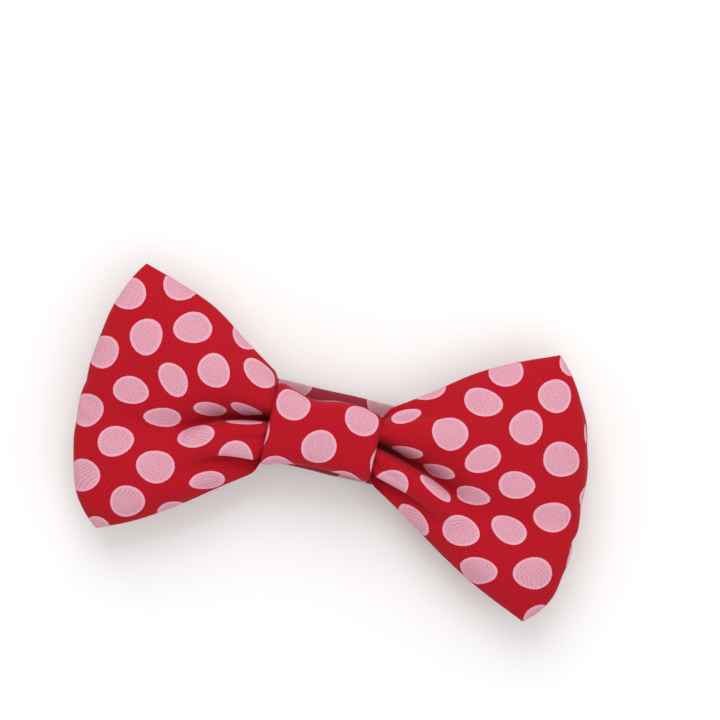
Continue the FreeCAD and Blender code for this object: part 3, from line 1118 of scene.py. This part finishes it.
@dataclass
class BackStrap:
    """The flat strip behind the knot: printed cloth folded round an interlining and pressed. Near
    the knot its dots are listed one by one, and further out they are the print's own repeat."""

    box: Array
    print_: DottedPrint
    middle: Array
    dots: tuple[Dot, ...]
    rows: int = 110
    columns: int = 34
    placed_out_to: float = 22.0
    skin: float = 0.05
    print_places: tuple[tuple[float, float], ...] = ((7.0, 60.0), (7.0, 95.0))

    def build(self, cotton: bpy.types.Material) -> bpy.types.Object:
        """Make and dress the strap: its thickness closes as sqrt(1 - t^14) at its long edges and
        as sqrt(1 - s^60) at its ends, and it waves a little between the places where it is sewn.

        Args:
            cotton: The strap's cloth, the bow's print made darker and greyer as painted shade.

        Returns:
            The finished piece.
        """
        size = (self.box[1] - self.box[0]) / 2
        centre = self.box.mean(axis=0)
        s, t = np.meshgrid(crowded(self.rows, 0.4), crowded(self.columns), indexing="ij")
        soft_end = 1 - 0.012 * (s**8) * (1 - t**2)
        x = s * size[0] * soft_end
        y = t * (size[1] - 0.08 * (1 + np.cos(0.31 * x + 1.1)) * np.abs(t))
        full = np.sqrt(np.clip(1 - np.abs(t) ** 14, 0, 1)) * np.sqrt(
            np.clip(1 - np.abs(s) ** 60, 0, 1))
        wave = 0.10 * np.sin(0.21 * x + 0.5) * (1 - t**2)
        front = np.stack([x, y, wave + full * (size[2] - self.skin)], axis=-1)
        back = np.stack([x, y, wave - full * (size[2] - self.skin + 0.12 * t**6)], axis=-1)
        points, faces = paired_panels(front, back)
        cloth = [panel[..., :2] + place for panel, place in zip((front, back), self.print_places)]
        near = np.abs(front[..., 0] + centre[0] - self.middle[0]) < self.placed_out_to
        placed = self.print_.placed(front + centre - self.middle, self.dots)
        inset = panel_values(np.where(near, placed, self.print_.inset(cloth[0])),
                             self.print_.inset(cloth[1]))
        return make_piece("back_strap_cloth", points + centre, faces, cotton,
                          panel_values(*cloth), inset)


@dataclass
class Stitching:
    """Stitches of spun thread: short fat threads whose ends dive into the cloth."""

    thickness: float = 0.46
    sag: float = 0.16
    twist: float = 0.13
    rings: int = 7
    sides: int = 6

    def build(self, name: str, places: Array, length: float, lengthways: bool,
              thread: bpy.types.Material) -> bpy.types.Object:
        """Lay one stitch at each place. A stitch is a round thread carried along an arc: its
        radius closes as sqrt(1 - u^4) at its ends, with a twist of two strands on it.

        Args:
            name: The piece's name.
            places: The middle of each stitch, one row each.
            length: The length of a stitch.
            lengthways: Whether it runs along the bow or across it.
            thread: The thread's material.

        Returns:
            The finished piece.
        """
        turn = np.linspace(0, 2 * math.pi, self.sides, endpoint=False)
        u, turn = np.meshgrid(crowded(self.rings + 2)[1:-1], turn, indexing="ij")
        radius = self.thickness / 2 * (1 - u**4) ** 0.5
        radius = radius * (1 + self.twist * np.cos(2 * turn + 7.0 * u))
        side, rise = radius * np.cos(turn), 0.75 * radius * np.sin(turn)
        ring = np.stack([u * length / 2, side, rise + self.sag * u**2], axis=-1)
        ends = np.array([[-length / 2, 0, self.sag], [length / 2, 0, self.sag]])
        stitch = np.concatenate([ring.reshape(-1, 3), ends])
        if not lengthways:
            stitch = stitch[:, [1, 0, 2]] * (-1, 1, 1)
        count = self.rings * self.sides
        last = count - self.sides
        faces = grid_faces(self.rings, self.sides, wrap=True)[:, ::-1].tolist()
        following = [(n + 1) % self.sides for n in range(self.sides)]
        faces += [[count, after, n] for n, after in enumerate(following)]
        faces += [[count + 1, last + n, last + after] for n, after in enumerate(following)]
        points = (places[:, None, :] + stitch[None, :, :]).reshape(-1, 3)
        every = [[corner + number * len(stitch) for corner in face]
                 for number in range(len(places)) for face in faces]
        return make_piece(name, points, every, thread)


@dataclass
class ElasticLoop:
    """A band of knitted elastic sewn under the strap as a shallow U, which holds a collar."""

    box: Array
    strap_back: float
    side: Side
    thickness: float = 1.0
    bend: float = 1.9
    ribs: int = 11
    rows: int = 120
    columns: int = 46

    @property
    def half(self) -> float:
        """Half the U's width, from leg to leg, at the middle of the band's thickness."""
        return float(self.box[1, 1] - self.box[0, 1]) / 2 - self.thickness / 2

    def path(self, places: Array) -> tuple[Array, Array]:
        """The U as seen from its end: down one leg, round a quarter circle, across, and up again,
        where each place is a length along the band from its middle.

        Args:
            places: Lengths along the band.

        Returns:
            The path's points and its outward directions, as across and up.
        """
        far = np.abs(places)
        flat = self.half - self.bend
        turn = np.clip((far - flat) / self.bend, 0.0, math.pi / 2)
        leg = np.maximum(far - flat - self.bend * math.pi / 2, 0.0)
        y = np.minimum(far, flat) + self.bend * np.sin(turn)
        z = self.thickness / 2 + self.bend * (1 - np.cos(turn)) + leg
        facing = np.stack([np.sin(turn) * np.sign(places), -np.cos(turn)], axis=-1)
        return np.stack([y * np.sign(places), z], axis=-1), facing

    def build(self, elastic: bpy.types.Material) -> bpy.types.Object:
        """Carry a flat ribbed section along the U. The thickness ripples with the ribs and
        closes as sqrt(1 - w^10) at the selvedges.

        Args:
            elastic: The knitted elastic.

        Returns:
            The finished piece, not yet joined to its bodies.
        """
        leg_top = self.strap_back + 0.1 - self.thickness / 2
        reach = self.half - self.bend + self.bend * math.pi / 2 + leg_top - self.bend
        places = np.linspace(-reach, reach, self.rows)
        centre, facing = self.path(places)
        wide = crowded(self.columns, 0.28)
        width = (self.box[1, 0] - self.box[0, 0]) / 2
        rib = 0.78 + 0.22 * np.cos(math.pi * self.ribs * wide)
        thick = self.thickness / 2 * rib * np.sqrt(np.clip(1 - np.abs(wide) ** 10, 0, 1))
        bow_in = 1 - 0.012 * np.cos(math.pi * places / reach)
        x = wide[None, :] * width * bow_in[:, None]
        sides = []
        for direction in (1, -1):
            at = centre[:, None, :] + direction * thick[None, :, None] * facing[:, None, :]
            sides.append(np.stack([x, at[..., 0], at[..., 1]], axis=-1))
        ring = np.concatenate([sides[0], sides[1][:, -2:0:-1]], axis=1)
        around = ring.shape[1]
        faces = grid_faces(self.rows, around, wrap=True).tolist()
        faces.append(list(range(around)))
        faces.append([(self.rows - 1) * around + n for n in range(around - 1, -1, -1)])
        cloth = np.stack([ring[..., 0], np.broadcast_to(places[:, None], ring.shape[:2])], axis=-1)
        name = f"{self.side.name.lower()}_elastic_band"
        return make_piece(name, ring + middle_of(self.box), faces, elastic, cloth)


# The studio


@dataclass
class Studio:
    """A pale table, soft daylight from above and a camera that looks straight down."""

    bow_middle: Array
    image_span: float = 207.0
    distance: float = 760.0
    turn: float = 13.2
    aim: tuple[float, float] = (5.4, 23.0)
    sensor: float = 36.0
    floor_half: float = 4000.0

    def build(self) -> None:
        """Make the floor, the lights and the camera."""
        self.floor()
        self.lights()
        self.camera()
        bpy.context.scene.view_settings.view_transform = "Standard"

    def floor(self) -> None:
        """A flat sheet just under the bow."""
        table = Nodes("pale_table", roughness=0.9)
        table.feed(table.shader.inputs["Base Color"], (0.88, 0.88, 0.87))
        corners = np.array([[-1, -1, 0], [1, -1, 0], [1, 1, 0], [-1, 1, 0]]) * self.floor_half
        sheet = make_piece("floor", corners + (0, 0, -0.05), np.array([[0, 1, 2, 3]]),
                           table.material)

    def lights(self) -> None:
        """A large soft window above the bow's upper edge, a weaker fill, and a pale sky."""
        world = bpy.data.worlds.new("studio")
        world.use_nodes = True
        background = world.node_tree.nodes["Background"]
        background.inputs["Color"].default_value = (1.0, 1.0, 1.0, 1.0)
        background.inputs["Strength"].default_value = 0.70
        bpy.context.scene.world = world
        for name, place, width, power in (
            ("window", (-0.25, 0.80, 0.95), 0.9, 7.6),
            ("fill", (0.5, -0.3, 1.3), 1.3, 5.0),
        ):
            lamp = bpy.data.lights.new(name, "AREA")
            lamp.size = width
            lamp.energy = power
            holder = bpy.data.objects.new(name, lamp)
            holder.location = place
            holder.rotation_euler = self.facing(-np.array(place))
            bpy.context.scene.collection.objects.link(holder)

    @staticmethod
    def facing(direction: Array) -> tuple[float, float, float]:
        """The angles that turn a lamp's -Z axis along a direction.

        Args:
            direction: The direction that the lamp shines in.

        Returns:
            Its rotations about X, Y and Z.
        """
        level = math.hypot(direction[0], direction[1])
        tilt = math.atan2(level, -direction[2])
        heading = math.atan2(direction[1], direction[0]) - math.pi / 2
        return (tilt, 0.0, heading)

    def camera(self) -> None:
        """A long lens straight above, turned so that the bow slopes down to the right."""
        lens = bpy.data.cameras.new("camera")
        lens.sensor_width = self.sensor
        lens.lens = self.sensor * self.distance / self.image_span
        holder = bpy.data.objects.new("camera", lens)
        place = self.bow_middle + (*self.aim, self.distance)
        holder.location = place * MM
        holder.rotation_euler = (0.0, 0.0, math.radians(self.turn))
        bpy.context.scene.collection.objects.link(holder)
        bpy.context.scene.camera = holder


def left_wing() -> Wing:
    """The left wing. Its valley closes to a slit at the knot and bends down on its way out, where
    its lower side flattens into a terrace, and a pleat is tucked under its lower edge.

    Returns:
        The wing, with its fold lines from the lower edge to the upper.
    """
    return Wing(Side.LEFT, 71.5, 60.8, 57.3, 0.74, 0.50, (
        FoldLine(-1.0, (-14.8, -23.1, -30.9, -37.5, -42.3), (15.5, 16.5, 16.5, 16.5, 16.5)),
        FoldLine(-0.86, (-12.6, -19.0, -27.8, -33.8, -36.8), (13.0, 19.4, 20.0, 19.2, 18.0)),
        FoldLine(-0.75, (-8.4, -12.7, -24.2, -29.8, -32.6), (12.6, 18.8, 20.4, 19.6, 18.6)),
        FoldLine(-0.66, (-11.2, -13.2, -20.8, -26.0, -28.6), (17.6, 21.0, 20.8, 19.8, 18.8)),
        FoldLine(-0.36, (-6.0, -8.8, -15.2, -18.4, -17.0), (21.6, 23.0, 20.6, 19.6, 19.2)),
        FoldLine(-0.13, (-0.4, -3.5, -10.6, -12.6, -9.0), (19.6, 20.6, 18.7, 19.0, 19.0)),
        FoldLine(0.0, (0.3, -2.6, -8.2, -8.6, -4.8), (10.6, 13.8, 17.2, 18.9, 19.0)),
        FoldLine(0.15, (2.9, 1.6, -3.0, -3.0, 0.0), (20.6, 21.0, 20.4, 20.0, 19.2)),
        FoldLine(0.38, (7.9, 9.8, 7.8, 9.0, 10.5), (22.2, 23.1, 22.2, 21.0, 19.4)),
        FoldLine(0.72, (11.2, 16.6, 21.0, 23.5, 25.5), (18.8, 20.6, 20.6, 20.0, 18.8)),
        FoldLine(1.0, (13.2, 21.2, 28.9, 33.4, 36.9), (15.5, 16.5, 16.5, 16.5, 16.5)),
    ), 74.5, 0.12)


def right_wing() -> Wing:
    """The right wing. Its valley bends further down on its way out, its upper edge falls away
    steeply beside the knot, and its lower pleat lies flatter.

    Returns:
        The wing, with its fold lines from the lower edge to the upper.
    """
    return Wing(Side.RIGHT, 78.7, 61.0, 67.9, 0.80, 0.27, (
        FoldLine(-1.0, (-10.5, -19.2, -27.7, -34.8, -40.5), (15.5, 16.0, 16.5, 16.5, 16.5)),
        FoldLine(-0.86, (-9.4, -16.0, -24.6, -30.8, -35.4), (13.0, 17.6, 19.4, 19.2, 18.0)),
        FoldLine(-0.75, (-5.8, -12.4, -22.2, -27.6, -31.0), (12.6, 18.4, 20.0, 19.6, 18.6)),
        FoldLine(-0.66, (-7.8, -12.6, -19.8, -24.8, -27.4), (18.0, 20.6, 20.6, 19.8, 18.8)),
        FoldLine(-0.40, (-4.6, -9.8, -17.2, -19.8, -18.0), (21.6, 23.0, 20.4, 19.6, 19.2)),
        FoldLine(-0.14, (-0.5, -5.3, -12.4, -14.4, -11.6), (19.8, 20.8, 18.7, 19.0, 19.0)),
        FoldLine(0.0, (0.3, -4.2, -10.2, -10.6, -7.4), (10.6, 13.8, 17.2, 18.9, 19.0)),
        FoldLine(0.15, (2.5, -0.3, -4.6, -4.8, -2.6), (20.6, 21.0, 20.4, 20.0, 19.2)),
        FoldLine(0.38, (6.8, 8.4, 6.4, 7.4, 9.0), (22.0, 23.1, 22.2, 21.0, 19.4)),
        FoldLine(0.72, (8.8, 13.2, 19.6, 23.0, 25.5), (15.8, 18.0, 20.4, 20.0, 18.8)),
        FoldLine(1.0, (10.6, 19.2, 27.7, 33.7, 38.4), (15.5, 16.0, 16.5, 16.5, 16.5)),
    ), 80.5, 0.30)


WING_DOTS = (
    Dot(-63.3, 26.4), Dot(-49.7, 32.3), Dot(-55.4, 15.6, 9.6, 10.2), Dot(-43.1, 21.1, 10.7, 9.2),
    Dot(-27.3, 23.3), Dot(-66.8, 8.5), Dot(-45.0, 5.5, 10.4, 7.6, -42),
    Dot(-34.3, 10.6, 10.4, 8.6, -47), Dot(-21.5, 12.9, 10.6, 6.9, -29),
    Dot(-56.2, -0.3, 10.4, 7.9, 8), Dot(-67.4, -8.7),
    Dot(-45.7, -5.8, 10.5, 5.6), Dot(-33.0, -0.5, 10.2, 3.9, 5), Dot(-22.7, 1.5, 10.2, 3.3, -10),
    Dot(-22.6, -1.5, 11.0, 1.7, 12), Dot(-57.3, -15.5, 10.8, 8.3, 28),
    Dot(-35.2, -8.8, 10.8, 6.3, 23), Dot(-22.7, -12.0), Dot(-64.2, -27.2),
    Dot(-44.4, -19.9, 10.7, 9.6), Dot(-29.3, -20.5, 10.6, 5.0, 21), Dot(-50.2, -31.5),
    Dot(-36.2, -33.0), Dot(-57.4, -42.8),
    Dot(21.9, 10.4, 8.6, 3.7, 27), Dot(26.4, 19.2, 11.0, 5.6, 27), Dot(46.9, 29.6),
    Dot(42.3, 19.3, 11.0, 8.0, 0), Dot(62.0, 25.7), Dot(66.2, 36.8), Dot(35.1, 8.5, 10.3, 9.5),
    Dot(55.9, 15.1, 9.8, 9.8), Dot(76.9, 18.4), Dot(24.3, 0.3, 10.0, 3.4, 5),
    Dot(45.9, 3.6, 10.7, 7.6, 33), Dot(67.8, 8.5, 10.7, 10.1), Dot(80.4, -0.6),
    Dot(34.5, -2.9, 9.8, 3.9, -2), Dot(56.9, -1.5, 10.6, 7.8, 13), Dot(22.2, -9.9),
    Dot(34.8, -7.6, 11.0, 3.6, -27), Dot(45.6, -7.4, 10.3, 5.0, -1), Dot(69.1, -8.1, 10.7, 8.7, 8),
    Dot(30.9, -18.0, 11.4, 5.4, -32), Dot(44.5, -17.9, 11.1, 8.4, -12),
    Dot(57.9, -14.5, 10.5, 7.6, -17), Dot(80.4, -18.4), Dot(51.9, -28.0, 11.0, 8.0, 1),
    Dot(67.4, -25.0, 11.0, 9.5, 18), Dot(72.8, -38.2))
STRAP_DOTS = (
    Dot(-11.2, 12.6), Dot(14.8, 12.8), Dot(-12.2, -13.2), Dot(10.9, -13.6), Dot(2.0, 0.5),
    Dot(-21.0, 0.0))


def stitch_places(box: Array, rows: int, columns: int, length: float,
                  lengthways: bool) -> Array:
    """Middles of stitches set out evenly over a frame node's box.

    Args:
        box: The node's lowest and highest corner.
        rows: Number of rows across the bow.
        columns: Number of stitches in a row.
        length: The length of a stitch.
        lengthways: Whether the stitches run along the bow.

    Returns:
        One row of three for each stitch.
    """
    low, high = box
    along, across = (length / 2, 0.15) if lengthways else (0.3, length / 2)
    x = np.linspace(low[0] + along, high[0] - along, columns)
    y = np.linspace(low[1] + across, high[1] - across, rows)
    places = np.stack(np.meshgrid(x, y, indexing="ij"), axis=-1).reshape(-1, 2)
    return np.column_stack([places, np.full(len(places), high[2] - 0.12)])


def dress(node: str, material: bpy.types.Material) -> None:
    """Give a frame node that stays its finish.

    Args:
        node: The node's name.
        material: Its finish.
    """
    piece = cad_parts[node]
    piece.data.materials.clear()
    piece.data.materials.append(material)


def main() -> None:
    """Build every piece in order, and report each one."""
    logging.basicConfig(level=logging.INFO, format="%(name)s: %(message)s")
    knot_box, strap_box = node_box("knot_band"), node_box("back_strap")
    middle = middle_of(knot_box)
    print_ = DottedPrint()
    cotton = PrintedCotton("dotted_cotton").build()
    # The strap's cloth is the bow's print made darker and greyer, with its threads showing more:
    # painted shade for the shade that the knot and wings cast on the strap.
    strap_cotton_painted_shade = PrintedCotton("strap_cotton_painted_shade", ground=(0.30, 0.026, 0.042),
                                 dot=(0.50, 0.29, 0.34), strength=1.4).build()
    thread = PlainFinish("red_thread", (0.36, 0.012, 0.024), grain=4200.0).build()
    felt = PlainFinish("stiffening_felt", (0.78, 0.76, 0.70), grain=1500.0).build()
    elastic = KnittedElastic("knitted_elastic").build()

    bow = PaddedBow(knot_box, print_, left_wing(), right_wing(), WING_DOTS).build(cotton)
    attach(bow, "bow")
    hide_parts("bow_front_cloth", "bow_back_cloth", "left_wing_wadding",
                "right_wing_wadding")

    knot = Knot(knot_box)
    wrap, stiffener = knot.build(cotton, felt)
    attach(wrap, "bow")
    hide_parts("knot_band")
    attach(stiffener, "bow")
    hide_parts("knot_interfacing")

    winding = knot.winding(thread)
    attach(winding, "bow")
    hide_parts("waist_thread")

    strap = BackStrap(strap_box, print_, middle, STRAP_DOTS).build(strap_cotton_painted_shade)
    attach(strap, "bow")
    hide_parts("back_strap")

    sewing = Stitching()
    rows = stitch_places(node_box("strap_edge_stitches"), 2, 22, 2.8, lengthways=True)
    topstitching = sewing.build("strap_topstitching", rows, 2.8, True, thread)
    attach(topstitching, "bow")
    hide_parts("strap_edge_stitches")
    bars = stitch_places(node_box("strap_tacking_stitches"), 2, 2, 3.0, lengthways=False)
    tacking = sewing.build("strap_tacking", bars, 3.0, False, thread)
    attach(tacking, "bow")
    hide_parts("strap_tacking_stitches")

    for side in Side:
        body = f"{side.name.lower()}_elastic"
        box = node_box(f"{body}_loop")
        loop = ElasticLoop(box, strap_box[0, 2], side).build(elastic)
        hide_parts(f"{body}_loop")
        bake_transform(loop)
        log.info("%s: %d faces", loop.name, len(loop.data.polygons))

    dress("knot_closing_stitches", thread)
    dress("strap_interlining", felt)
    for piece in (bow, wrap, stiffener, winding, strap, topstitching, tacking):
        log.info("%s: %d faces", piece.name, len(piece.data.polygons))

    Studio(middle + (0, 0, 15.0)).build()


if __name__ == "__main__":
    main()
